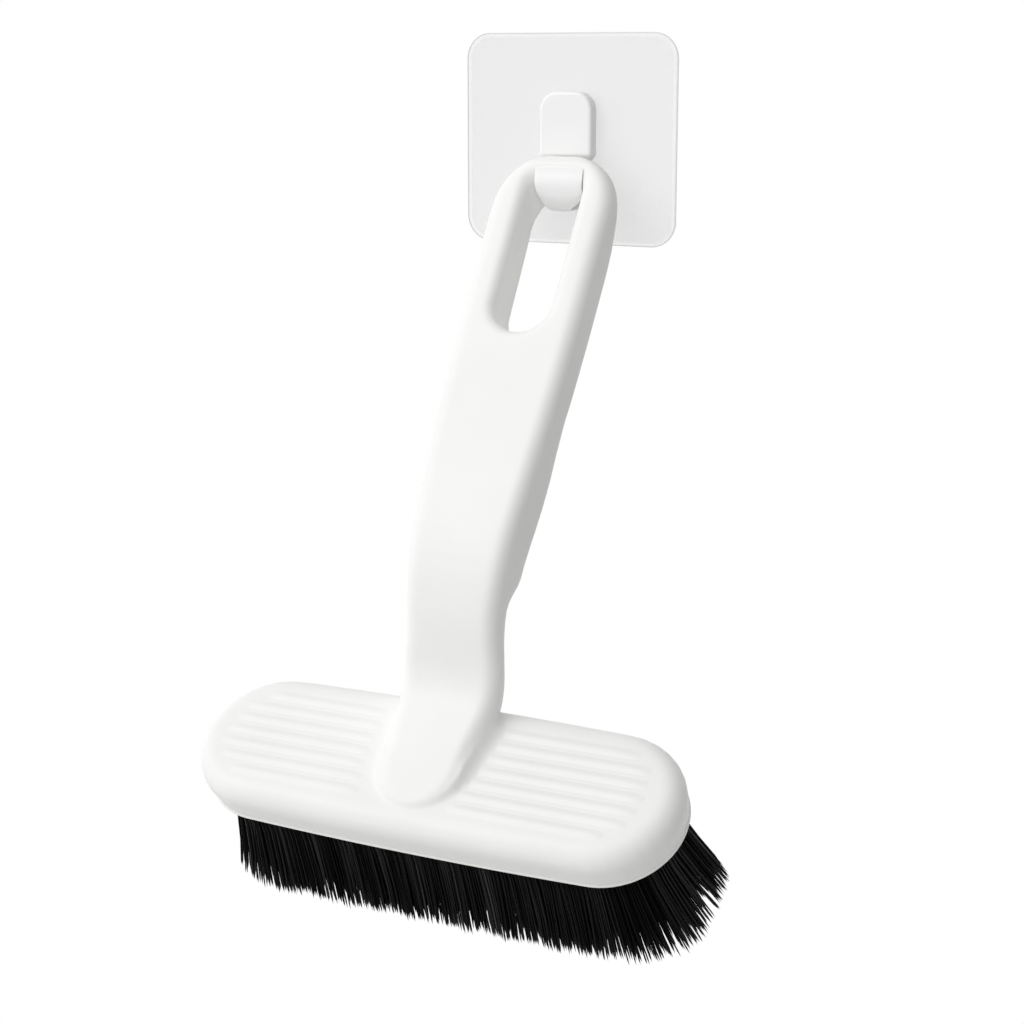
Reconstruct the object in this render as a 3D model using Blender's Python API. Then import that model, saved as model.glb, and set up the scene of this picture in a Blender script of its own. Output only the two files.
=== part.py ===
# Gap cleaning brush hanging on its stick-on wall hook.
#
# The wall plate is a clear film on a layer of adhesive gel. A white hook stands on it, and the
# loop of the brush handle hangs over the prong of the hook. Handle, tongue and head are one
# moulding. Tufts of black bristle stand in a base under the head.
#
# Metres, +Z up. The wall is the plane Y = 0, the room is on the -Y side, and the origin is the
# centre of the wall plate's back face. X runs along the wall.

import math

import bmesh
import bpy
from mathutils import Matrix, Vector

# Wall plate: adhesive gel on the wall, clear film over it.
PLATE_WIDTH = 0.065
PLATE_HEIGHT = 0.0585
PLATE_CORNER = 0.0072
GEL_THICKNESS = 0.0005
GEL_INSET = 0.0008
FILM_THICKNESS = 0.0006

# Clearance between two pieces that touch.
SEAT_GAP = 0.0003

# Hook: a block with an arched top, a thin stem behind the loop, and a prong under it.
HOOK_WIDTH = 0.016
HOOK_TOP = 0.0132
HOOK_CORNER = 0.0050
HOOK_DEPTH = 0.0039
HOOK_EDGE = 0.0007
STEM_THICKNESS = 0.0025
PRONG_WIDTH = 0.0134
PRONG_SIDE = 0.0006
PRONG_HEIGHT = 0.0118
PRONG_REACH = 0.0018
PRONG_RISE = 0.0008
PRONG_CORNER = 0.0048
PRONG_CHIN = 0.0035
PRONG_EDGE = 0.0012
PRONG_ROOT_WIDTH = 0.0056
PRONG_ROOT_DEPTH = 0.0022
PRONG_ROOT_CORNER = 0.0004
PRONG_SIDE_DEPTH = 0.0011
PRONG_STEP = 0.0001
PRONG_CORNER_SHARE = 0.45
PRONG_CORNER_SPAN = 0.9
STEM_ROOT_SHARE = 0.3
BAR_SPAN = 0.98

# Where the hook stands beside the plate's centre, and where the loop hangs beside and below it.
HOOK_SIDE = 0.0005
HANG_SIDE = 0.0012
HANG_DROP = 0.0086

# Loop at the top of the handle, with its long rounded slot.
BAR_THICKNESS = 0.0085
BAR_HEIGHT = 0.0055
BAR_BACK_DROP = 0.0052
BAR_RIM = 0.0010
LOOP_WIDTH = 0.0370
LOOP_SHOULDER = 0.0180
LOOP_FULLNESS = 2.3
SLOT_WIDTH = 0.0172
SLOT_LENGTH = 0.0494
SLOT_RIM = 0.0026
SLOT_BACK_RIM = 0.0012
SLOT_CROWN = 0.0055
SLOT_BACK_CROWN = 0.0122
SLOT_SQUARENESS = 3.6
SLOT_STEPS = 16
CUT_CLEAR = 0.0040

# Handle, measured along its front face from the top of the loop.
HANDLE_LEAN = math.radians(32.8)
HANDLE_STRAIGHT = 0.1083
SWEEP_RADIUS = 0.0580
NECK_LENGTH = 0.0084
HEEL_RADIUS = 0.0140
TONGUE_LENGTH = 0.0284
GRIP_WIDTH = 0.0364
GRIP_THICKNESS = 0.0130
PALM_WIDTH = 0.0314
PALM_THICKNESS = 0.0160
PALM_LEAD = 0.0080
PALM_TRAIL = 0.0155
PALM_DROP = 0.0100
NECK_WIDTH = 0.0273
NECK_THICKNESS = 0.0106
HEEL_WIDTH = 0.0286
HEEL_THICKNESS = 0.0082
TONGUE_WIDTH = 0.0280
TONGUE_END_WIDTH = 0.0246
TONGUE_ROUND = 0.0135
TONGUE_TIP_HEIGHT = 0.0010
TONGUE_SETBACK = 0.0071
TONGUE_FILLET = 0.0032
TIP_FILLET = 0.0009
FRONT_EDGE = 0.0040
BACK_EDGE = 0.0048
EMBED = 0.0030
GRIP_START = 0.55
GRIP_SWELL = 1.02
PALM_END_THINNING = 0.98
NECK_THINNING = 0.94
ROUND_LIMIT = 0.49
SKIRT_FOOT_DROP = 0.00003
SKIRT_TOP_SHARE = 0.98

# Head: a stadium with bowed long sides, a soft top edge and grip ribs.
HEAD_TILT = math.radians(34.2)
TONGUE_SLOPE = math.radians(12.0)
HEAD_LENGTH = 0.1411
HEAD_WIDTH = 0.0420
HEAD_BOW = 0.0008
HEAD_HEIGHT = 0.0120
HEAD_DRAFT = 0.0010
HEAD_EDGE = 0.0053
RIM_WALL = 0.0022
RECESS_DEPTH = 0.0030
RIB_COUNT = 6
RIB_PITCH = 0.0042
RIB_WIDTH = 0.0013
RIB_HEIGHT = 0.0005
RIB_END_INSET = 0.0089
RIB_TONGUE_GAP = 0.0040
RIB_SWELL = ((0.0, 0.15), (0.02, 0.75), (0.06, 1.0), (0.94, 1.0), (0.98, 0.75), (1.0, 0.15))

# Bristle base, cut across into slices, and the bristles that stand in it.
SLICE_COUNT = 8
STRAND_PITCH = 0.0033
STRAND_WIDTH = 0.0015
STRAND_LENGTH = 0.0305
STRAND_MARGIN = 0.0010
STRAND_SINK = 0.0006
SIDE_FLARE = 0.0056
END_FLARE = 0.0108
STRAND_RAGGED = 0.0012
RAGGED_ALONG = 2300.0
RAGGED_ACROSS = 5100.0
STRAND_FAN = 0.15
STRAND_WAIST = 0.55
STRAND_TAPER = 0.8
STRAND_BOW = 1.4

X_AXIS = Vector((1.0, 0.0, 0.0))


def clear_scene():
    for old in list(bpy.data.objects):
        bpy.data.objects.remove(old, do_unlink=True)


def plastic(name, colour, roughness, alpha=1.0):
    material = bpy.data.materials.new(name)
    material.use_nodes = True
    shader = material.node_tree.nodes["Principled BSDF"]
    shader.inputs["Base Color"].default_value = (*colour, 1.0)
    shader.inputs["Roughness"].default_value = roughness
    shader.inputs["Metallic"].default_value = 0.0
    shader.inputs["Alpha"].default_value = alpha
    return material


def add_object(name, mesh, material=None, parent=None):
    piece = bpy.data.objects.new(name, mesh)
    bpy.context.collection.objects.link(piece)
    piece.parent = parent
    if material:
        mesh.materials.append(material)
    return piece


def add_empty(name, location, parent=None, rotation=None):
    empty = bpy.data.objects.new(name, None)
    bpy.context.collection.objects.link(empty)
    empty.parent = parent
    empty.location = location
    if rotation:
        empty.rotation_euler = rotation
    return empty


def make_form(piece):
    """Marks a cutter or a form that only lends its shape to another piece."""
    piece.hide_render = True
    piece.display_type = "WIRE"
    return piece


def finish_mesh(bm, name, smooth_angle=40.0):
    bmesh.ops.recalc_face_normals(bm, faces=bm.faces)
    mesh = bpy.data.meshes.new(name)
    bm.to_mesh(mesh)
    bm.free()
    mesh.shade_smooth()
    mesh.set_sharp_from_angle(angle=math.radians(smooth_angle))
    return mesh


def loft(bm, rings):
    """Closed skin through rings of equally many points, with a face over each end."""
    skins = [[bm.verts.new(point) for point in ring] for ring in rings]
    count = len(skins[0])
    for low, high in zip(skins, skins[1:]):
        for i in range(count):
            j = (i + 1) % count
            bm.faces.new((low[i], low[j], high[j], high[i]))
    bm.faces.new(reversed(skins[0]))
    bm.faces.new(skins[-1])


def boolean(piece, operation, form):
    modifier = piece.modifiers.new(operation.lower() + "_" + form.name, "BOOLEAN")
    modifier.operation = operation
    modifier.object = form
    modifier.solver = "EXACT"


def arc(centre, radius, start, end, steps):
    """Points of a circle's arc in a plane, from one angle to another."""
    points = []
    for i in range(steps + 1):
        angle = start + (end - start) * i / steps
        points.append((centre[0] + radius * math.cos(angle), centre[1] + radius * math.sin(angle)))
    return points


def rounded_rectangle(left, right, low, high, radii, steps):
    """Outline with a corner radius for each corner: low left, low right, high right, high left."""
    quarter = math.pi / 2
    corners = [(left, low, 1, 1, 2), (right, low, -1, 1, 3)]
    corners += [(right, high, -1, -1, 0), (left, high, 1, -1, 1)]
    outline = []
    for (x, y, side_x, side_y, turn), radius in zip(corners, radii):
        centre = (x + side_x * radius, y + side_y * radius)
        outline += arc(centre, radius, turn * quarter, (turn + 1) * quarter, steps)
    return outline


def smooth_value(stations, at):
    """Value at a distance, on a smooth curve that never overshoots the stations."""
    places = [place for place, value in stations]
    values = [value for place, value in stations]
    if at <= places[0]:
        return values[0]
    if at >= places[-1]:
        return values[-1]
    spans = [b - a for a, b in zip(places, places[1:])]
    slopes = [(b - a) / span for a, b, span in zip(values, values[1:], spans)]
    tangents = [0.0] * len(places)
    for i in range(1, len(places) - 1):
        before, after = slopes[i - 1], slopes[i]
        if before * after > 0.0:
            tangents[i] = 2.0 * before * after / (before + after)
    i = max(k for k, place in enumerate(places[:-1]) if place <= at)
    t = (at - places[i]) / spans[i]
    value = values[i] * (1 + 2 * t) * (1 - t) ** 2 + values[i + 1] * t * t * (3 - 2 * t)
    value += spans[i] * (tangents[i] * t * (1 - t) ** 2 - tangents[i + 1] * t * t * (1 - t))
    return value


# Distances along the handle at which one stretch hands over to the next.
AT_SWEEP = HANDLE_STRAIGHT
AT_NECK = AT_SWEEP + SWEEP_RADIUS * HANDLE_LEAN
AT_HEEL = AT_NECK + NECK_LENGTH
HEEL_ANGLE = math.pi / 2 - HEAD_TILT - TONGUE_SLOPE
AT_TONGUE = AT_HEEL + HEEL_RADIUS * HEEL_ANGLE
AT_TIP = AT_TONGUE + TONGUE_LENGTH
AT_PALM_END = AT_SWEEP + PALM_TRAIL
CAP = BAR_THICKNESS / 2
AT_SLOT_TOP = BAR_HEIGHT
AT_SLOT_FOOT = BAR_HEIGHT + SLOT_LENGTH


def down(lean):
    return Vector((0.0, -math.sin(lean), -math.cos(lean)))


def inward(lean):
    return Vector((0.0, math.cos(lean), -math.sin(lean)))


# The brush is modelled about the middle of its hanging bar, where it rests on the hook.
LOOP_TOP = -down(HANDLE_LEAN) * CAP - inward(HANDLE_LEAN) * CAP


def face_point(at):
    """Front face of the handle on the middle plane, with its lean there."""
    point = LOOP_TOP.copy()
    point += down(HANDLE_LEAN) * min(at, AT_SWEEP)
    if at <= AT_SWEEP:
        return point, HANDLE_LEAN
    turned = min(at - AT_SWEEP, AT_NECK - AT_SWEEP) / SWEEP_RADIUS
    lean = HANDLE_LEAN - turned
    point += SWEEP_RADIUS * (inward(HANDLE_LEAN) - inward(lean))
    point += down(lean) * min(max(at - AT_NECK, 0.0), NECK_LENGTH)
    turned = min(max(at - AT_HEEL, 0.0), AT_TONGUE - AT_HEEL) / HEEL_RADIUS
    point += HEEL_RADIUS * (inward(lean + turned) - inward(lean))
    lean += turned
    point += down(lean) * max(at - AT_TONGUE, 0.0)
    return point, lean


def top_half_width():
    """Half the width of the head's top face in the middle, out to where its edge would be sharp."""
    return HEAD_WIDTH / 2 + HEAD_BOW


def head_frame():
    """The head's own axes and the middle of its top face, set by the tongue's tip."""
    forward = Vector((0.0, -math.cos(HEAD_TILT), -math.sin(HEAD_TILT)))
    upward = Vector((0.0, -math.sin(HEAD_TILT), math.cos(HEAD_TILT)))
    tip, lean = face_point(AT_TIP)
    reach = top_half_width() - TONGUE_SETBACK
    return tip - forward * reach - upward * TONGUE_TIP_HEIGHT, forward, upward


HEAD_CENTRE, HEAD_FORWARD, HEAD_UP = head_frame()


def half_width(at):
    """Half the handle's width: a rounded loop end, the grip, the neck and the rounded tongue."""
    stations = [
        (LOOP_SHOULDER, LOOP_WIDTH),
        (AT_SLOT_FOOT, GRIP_WIDTH),
        (AT_SWEEP, PALM_WIDTH),
        (AT_NECK, NECK_WIDTH),
        (AT_HEEL, HEEL_WIDTH),
        (AT_TONGUE, TONGUE_WIDTH),
        (AT_TIP - TONGUE_ROUND, TONGUE_END_WIDTH),
    ]
    width = smooth_value(stations, at) / 2
    if at < LOOP_SHOULDER:
        rise = 1.0 - at / LOOP_SHOULDER
        width *= (1.0 - rise ** LOOP_FULLNESS) ** (1.0 / LOOP_FULLNESS)
    into_round = at - (AT_TIP - TONGUE_ROUND)
    if into_round > 0.0:
        width *= math.sqrt(max(1.0 - (into_round / TONGUE_ROUND) ** 2, 0.0))
    return width


def depth_range(at):
    """Depth of the handle's front and back faces below the line of the front face."""
    stations = [
        (CAP, BAR_THICKNESS),
        (AT_SLOT_FOOT * GRIP_START, GRIP_THICKNESS),
        (AT_SWEEP - PALM_LEAD * 4, GRIP_THICKNESS * GRIP_SWELL),
        (AT_SWEEP - PALM_LEAD, PALM_THICKNESS),
        (AT_PALM_END, PALM_THICKNESS * PALM_END_THINNING),
        (AT_PALM_END + PALM_DROP, NECK_THICKNESS),
        (AT_NECK, NECK_THICKNESS * NECK_THINNING),
        (AT_HEEL, HEEL_THICKNESS),
    ]
    thickness = smooth_value(stations, at)
    if at < CAP:
        half = math.sqrt(CAP ** 2 - (CAP - at) ** 2)
        return CAP - half, CAP + half
    if at > AT_HEEL:
        point, lean = face_point(at)
        height = (point - HEAD_CENTRE).dot(HEAD_UP)
        into_head = (height + EMBED) / -inward(lean).dot(HEAD_UP)
        blend = min((at - AT_HEEL) / (AT_TONGUE - AT_HEEL), 1.0)
        thickness += (into_head - thickness) * blend ** 2
    edge = TONGUE_TIP_HEIGHT
    into_edge = at - (AT_TIP - edge)
    front = 0.0
    if into_edge > 0.0:
        front = edge - math.sqrt(max(edge ** 2 - into_edge ** 2, 0.0))
    return front, thickness


def handle_ring(at):
    point, lean = face_point(at)
    front, back = depth_range(at)
    half = half_width(at)
    limit = ROUND_LIMIT * min(back - front, 2 * half)
    front_radius = min(FRONT_EDGE, limit)
    back_radius = min(BACK_EDGE, limit)
    radii = (front_radius, front_radius, back_radius, back_radius)
    ring = []
    for x, depth in rounded_rectangle(-half, half, front, back, radii, 6):
        ring.append(point + X_AXIS * x + inward(lean) * depth)
    return ring


def stretch(start, end, steps):
    return [start + (end - start) * i / steps for i in range(steps)]


def handle_form():
    """The handle as one skin, from the loop's crown down to the tongue's tip."""
    places = [CAP * (1 - math.cos(math.radians(angle))) for angle in (10, 24, 38, 52, 66, 80)]
    places += stretch(CAP, LOOP_SHOULDER, 8)
    places += stretch(LOOP_SHOULDER, AT_SLOT_FOOT, 5)
    places += stretch(AT_SLOT_FOOT, AT_SWEEP - PALM_LEAD, 6)
    places += stretch(AT_SWEEP - PALM_LEAD, AT_PALM_END, 6)
    places += stretch(AT_PALM_END, AT_NECK, 7)
    places += stretch(AT_NECK, AT_HEEL, 3)
    places += stretch(AT_HEEL, AT_TONGUE, 6)
    places += stretch(AT_TONGUE, AT_TIP - TONGUE_ROUND, 3)
    for angle in (0, 15, 30, 45, 57, 68, 77, 84, 88):
        places.append(AT_TIP - TONGUE_ROUND * (1 - math.sin(math.radians(angle))))
    bm = bmesh.new()
    loft(bm, [handle_ring(at) for at in places])
    return bm


def slot_crown(share):
    """Where the slot's crown starts, its height and how squarish it is, from front to back."""
    start = AT_SLOT_TOP + BAR_BACK_DROP * share
    height = SLOT_CROWN + (SLOT_BACK_CROWN - SLOT_CROWN) * share
    return start, height, SLOT_SQUARENESS + (2.0 - SLOT_SQUARENESS) * share


def slot_point(at_foot, turn, share, grow):
    """Point of the slot's edge, across and along the handle, moved outwards by a flare.

    The foot is a half circle. The crown is a superellipse, squarish at the front of the handle,
    and lower and round at its back.
    """
    radius = SLOT_WIDTH / 2
    across, along = math.cos(turn), math.sin(turn)
    if at_foot:
        return (radius + grow) * across, AT_SLOT_FOOT - radius - (radius + grow) * along
    start, height, power = slot_crown(share)
    x = math.copysign(abs(across) ** (2 / power), across)
    y = max(along, 0.0) ** (2 / power)
    slope = math.copysign(abs(x) ** (power - 1), x) / radius
    normal = Vector((slope, y ** (power - 1) / height)).normalized()
    return radius * x + grow * normal.x, start + height * (1 - y) - grow * normal.y


def slot_cutter():
    """The slot's air, flared where it meets the front and back faces so that the rims are round."""
    flare = []
    for angle in (0, 22.5, 45, 67.5, 90):
        turn = math.radians(angle)
        flare.append((1 - math.sin(turn), 1 - math.cos(turn)))
    levels = [(0, 1.0, 0.0, CUT_CLEAR)]
    levels += [(0, grow, lead, 0.0) for grow, lead in flare]
    levels += [(1, grow, lead, 0.0) for grow, lead in reversed(flare)]
    levels.append((1, 1.0, 0.0, CUT_CLEAR))
    turns = [(False, math.pi * i / SLOT_STEPS) for i in range(SLOT_STEPS + 1)]
    turns += [(True, math.pi * (1 + i / SLOT_STEPS)) for i in range(SLOT_STEPS + 1)]
    bm = bmesh.new()
    rings = []
    for side, grow, lead, beyond in levels:
        ring = []
        for at_foot, turn in turns:
            crown = 0.0 if at_foot else math.sin(turn)
            wide = SLOT_RIM if side == 0 else SLOT_BACK_RIM
            rim = wide + (min(BAR_RIM, wide) - wide) * crown
            across, here = slot_point(at_foot, turn, side, grow * rim)
            front, back = depth_range(max(here, CAP))
            depth = back - lead * rim if side == 1 else lead * rim
            share = min(max(depth / back, 0.0), 1.0)
            across, here = slot_point(at_foot, turn, share, grow * rim)
            depth += beyond * (2 * side - 1)
            ring.append(LOOP_TOP + down(HANDLE_LEAN) * here + inward(HANDLE_LEAN) * depth + X_AXIS * across)
        rings.append(ring)
    loft(bm, rings)
    return bm


def stadium(length, width, bow, steps):
    """Outline with round ends and long sides that bow out a little."""
    radius = width / 2
    straight = length / 2 - radius
    quarter = math.pi / 2
    outline = arc((straight, 0.0), radius, -quarter, quarter, steps)
    side_steps = 6
    for i in range(1, side_steps):
        x = straight * (1 - 2 * i / side_steps)
        outline.append((x, radius + bow * (1 - (x / straight) ** 2)))
    outline += arc((-straight, 0.0), radius, quarter, 3 * quarter, steps)
    for i in range(1, side_steps):
        x = -straight * (1 - 2 * i / side_steps)
        outline.append((x, -radius - bow * (1 - (x / straight) ** 2)))
    return outline


def head_level(inset, height, steps=16):
    outline = stadium(HEAD_LENGTH - 2 * inset, HEAD_WIDTH - 2 * inset, HEAD_BOW, steps)
    return [HEAD_CENTRE + X_AXIS * u + HEAD_FORWARD * v + HEAD_UP * height for u, v in outline]


def head_form():
    """The head block: soft top edge, drafted sides, and a recess for the bristle base."""
    levels = []
    for angle in (0, 18, 36, 54, 72, 90):
        turn = math.radians(angle)
        levels.append((HEAD_EDGE * (1 - math.sin(turn)), -HEAD_EDGE * (1 - math.cos(turn))))
    levels.append((HEAD_DRAFT, -HEAD_HEIGHT))
    levels.append((HEAD_DRAFT + RIM_WALL, -HEAD_HEIGHT))
    levels.append((HEAD_DRAFT + RIM_WALL, -HEAD_HEIGHT + RECESS_DEPTH))
    bm = bmesh.new()
    loft(bm, [head_level(inset, height) for inset, height in levels])
    return bm


def rib_reach(v, inset):
    """How far out along the head a line at this place across it may run."""
    radius = HEAD_WIDTH / 2
    return HEAD_LENGTH / 2 - radius + math.sqrt(max(radius ** 2 - v ** 2, 0.0)) - inset


def tongue_half_width(v):
    """Half the tongue's width where it stands on the head's top, at this place across it."""
    tip_v = top_half_width() - TONGUE_SETBACK
    at = AT_TIP - (tip_v - v) / math.cos(TONGUE_SLOPE)
    return half_width(min(at, AT_TIP))


def rib_forms():
    """Grip ribs on both sides of the tongue, each a low bar with a rounded back and ends."""
    bm = bmesh.new()
    for i in range(RIB_COUNT):
        v = (i - (RIB_COUNT - 1) / 2) * RIB_PITCH
        inner = max(tongue_half_width(v), TONGUE_END_WIDTH / 3) + RIB_TONGUE_GAP
        outer = rib_reach(v, RIB_END_INSET)
        for side in (-1, 1):
            rings = []
            for share, scale in RIB_SWELL:
                u = side * (inner + (outer - inner) * share)
                ring = []
                for x, h in arc((0.0, 0.0), 1.0, 0.0, math.pi, 4):
                    lift = RIB_HEIGHT * h * scale
                    point = HEAD_CENTRE + X_AXIS * u + HEAD_FORWARD * (v + x * scale * RIB_WIDTH / 2)
                    ring.append(point + HEAD_UP * lift)
                for x in (-1, 1):
                    point = HEAD_CENTRE + X_AXIS * u + HEAD_FORWARD * (v + x * scale * RIB_WIDTH / 2)
                    ring.append(point - HEAD_UP * RIB_HEIGHT * 2)
                rings.append(ring)
            loft(bm, rings)
    return bm


def skirt_stations():
    """Places round the tongue's foot, each with its way outwards and the height of the wall there."""
    tip_v = top_half_width() - TONGUE_SETBACK
    round_v = tip_v - TONGUE_ROUND * math.cos(TONGUE_SLOPE)
    rear_v = HEAD_EDGE - top_half_width()
    side = []
    for v in stretch(rear_v, round_v, 5):
        lead = (tongue_half_width(v + EMBED) - tongue_half_width(v)) / EMBED
        side.append((tongue_half_width(v), v, Vector((1.0, -lead)).normalized()))
    half = tongue_half_width(round_v)
    for angle in (0, 15, 30, 45, 60, 75, 90):
        turn = math.radians(angle)
        outwards = Vector((math.cos(turn) / half, math.sin(turn) / (tip_v - round_v))).normalized()
        side.append((half * math.cos(turn), round_v + (tip_v - round_v) * math.sin(turn), outwards))
    stations = []
    for u, v, outwards in side:
        share = min((tip_v - v) / (tip_v - round_v), (v - rear_v) / TONGUE_FILLET, 1.0)
        stations.append((u, v, outwards, TIP_FILLET + (TONGUE_FILLET - TIP_FILLET) * share))
    other = [(-u, v, Vector((-out.x, out.y)), radius) for u, v, out, radius in reversed(stations[:-1])]
    return stations + other


def skirt_form():
    """Hollow fillet where the tongue's sides and tip run out onto the head's top."""
    bm = bmesh.new()
    rings = []
    for u, v, outwards, radius in skirt_stations():
        foot = -SKIRT_FOOT_DROP
        section = [(-EMBED, -EMBED), (radius, -EMBED), (radius, foot)]
        for out, high in arc((radius, radius), radius, 1.5 * math.pi, math.pi, 5)[1:]:
            section.append((out, foot + high * SKIRT_TOP_SHARE))
        section.append((-EMBED, section[-1][1]))
        rings.append([base_place(u + outwards.x * out, v + outwards.y * out, high) for out, high in section])
    loft(bm, rings)
    return bm


def slice_outline(low_x, high_x):
    """Part of the bristle base between two cuts across the head."""
    inset = HEAD_DRAFT + RIM_WALL + SEAT_GAP
    length = HEAD_LENGTH - 2 * inset
    radius = HEAD_WIDTH / 2 - inset
    straight = length / 2 - radius
    cuts = [low_x, high_x]
    for i in range(17):
        x = radius * math.sin(math.pi / 2 * i / 16)
        cuts += [side * (straight + x) for side in (-1, 1)]
    cuts = sorted({round(x, 7) for x in cuts if low_x <= x <= high_x})
    upper = []
    for x in cuts:
        over = max(abs(x) - straight, 0.0)
        v = math.sqrt(max(radius ** 2 - over ** 2, 0.0))
        if over == 0.0:
            v += HEAD_BOW / 2 * (1 - (x / straight) ** 2)
        upper.append((x, v))
    lower = [(x, -v) for x, v in reversed(upper) if v > 1e-6]
    return upper + lower


def base_place(u, v, height):
    return HEAD_CENTRE + X_AXIS * u + HEAD_FORWARD * v + HEAD_UP * height


def slice_form(low_x, high_x):
    outline = slice_outline(low_x, high_x)
    top = -HEAD_HEIGHT + RECESS_DEPTH - SEAT_GAP
    bm = bmesh.new()
    loft(bm, [[base_place(u, v, height) for u, v in outline] for height in (top, -HEAD_HEIGHT)])
    return bm


def strand_tip(u, v):
    """Tip of a bristle that stands at this place: bristles near an edge lean out over it."""
    inset = HEAD_DRAFT + RIM_WALL + SEAT_GAP
    radius = HEAD_WIDTH / 2 - inset
    straight = HEAD_LENGTH / 2 - HEAD_WIDTH / 2
    over = math.copysign(max(abs(u) - straight, 0.0), u)
    reach = math.hypot(over, v) / radius
    lean_out = END_FLARE * (reach * over / radius + STRAND_FAN * (u / straight) ** 3)
    lean_side = SIDE_FLARE * reach * v / radius
    ragged = STRAND_RAGGED * math.sin(u * RAGGED_ALONG + v * RAGGED_ACROSS)
    return u + lean_out, v + lean_side, -HEAD_HEIGHT - STRAND_LENGTH - ragged


def add_strand(bm, u, v):
    """A three-sided bristle that tapers to a point, bowed a little as it leans out."""
    tip_u, tip_v, tip_h = strand_tip(u, v)
    rings = []
    for share, scale in ((0.0, 1.0), (STRAND_WAIST, STRAND_TAPER)):
        bend = share ** STRAND_BOW
        height = -HEAD_HEIGHT + STRAND_SINK + (tip_h + HEAD_HEIGHT) * share
        ring = []
        for x, y in arc((0.0, 0.0), STRAND_WIDTH / 2 * scale, 0.0, 4 * math.pi / 3, 2):
            ring.append(base_place(u + (tip_u - u) * bend + x, v + (tip_v - v) * bend + y, height))
        rings.append([bm.verts.new(point) for point in ring])
    tip = bm.verts.new(base_place(tip_u, tip_v, tip_h))
    low, high = rings
    for i in range(3):
        j = (i + 1) % 3
        bm.faces.new((low[i], low[j], high[j], high[i]))
        bm.faces.new((high[i], high[j], tip))
    bm.faces.new(reversed(low))


def strand_forms(low_x, high_x, slice_index):
    """All bristles of one slice, in columns that stay clear of the cuts beside it."""
    inset = HEAD_DRAFT + RIM_WALL + SEAT_GAP + STRAND_MARGIN
    radius = HEAD_WIDTH / 2 - inset
    straight = HEAD_LENGTH / 2 - HEAD_WIDTH / 2
    columns = max(round((high_x - low_x) / STRAND_PITCH), 1)
    pitch = (high_x - low_x) / columns
    bm = bmesh.new()
    for column in range(columns):
        u = low_x + (column + 0.5) * pitch
        over = max(abs(u) + STRAND_WIDTH / 2 - straight, 0.0)
        room = math.sqrt(max(radius ** 2 - over ** 2, 0.0))
        offset = 0.5 * ((slice_index * columns + column) % 2)
        rows = int(room / STRAND_PITCH) + 1
        for row in range(-rows, rows + 1):
            v = (row + offset) * STRAND_PITCH
            if abs(v) <= room:
                add_strand(bm, u, v)
    return bm


def plate_form(width, height, corner, back, front):
    """Thin plate with round corners, lying flat against the wall."""
    radii = (corner, corner, corner, corner)
    outline = rounded_rectangle(-width / 2, width / 2, -height / 2, height / 2, radii, 8)
    bm = bmesh.new()
    loft(bm, [[Vector((x, y, z)) for x, z in outline] for y in (back, front)])
    return bm


def plate_front():
    """Distance from the wall to the front of the film, with the gap that the hook keeps."""
    return GEL_THICKNESS + FILM_THICKNESS + 2 * SEAT_GAP


def bar_underside(seat, beside, share):
    """Point of the bar's underside at a distance beside its middle, at its front or its back."""
    start, height, power = slot_crown(share)
    across = min(beside / (SLOT_WIDTH / 2), BAR_SPAN)
    at = start + height * (1 - (1 - across ** power) ** (1 / power))
    back = depth_range(at)[1]
    return seat + LOOP_TOP + down(HANDLE_LEAN) * at + inward(HANDLE_LEAN) * back * share


def prong_tip(seat):
    """Front end of the prong on its middle plane, a little in front of the bar and above its edge."""
    edge = bar_underside(seat, 0.0, 0.0)
    return edge.y - PRONG_REACH, edge.z + PRONG_RISE


def trough_place(seat):
    """Distance from the wall at which the prong's top stops falling and turns level."""
    return bar_underside(seat, 0.0, 1.0).y


def prong_top(seat, x, y):
    """Height of the prong's top, one gap below the bar's underside.

    The loop can hang to either side, so the bar is taken where it comes lowest over this place.
    """
    beside = abs(x) + abs(HANG_SIDE - PRONG_SIDE) + SEAT_GAP
    front = bar_underside(seat, beside, 0.0)
    slope = bar_underside(seat, beside, 1.0) - front
    share = (min(y, trough_place(seat)) - front.y) / slope.y
    below = SEAT_GAP * slope.length / slope.y
    return min(front.z + slope.z * share - below, prong_tip(seat)[1])


def stem_foot(seat):
    return prong_top(seat, 0.0, trough_place(seat)) - PRONG_ROOT_DEPTH


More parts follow.
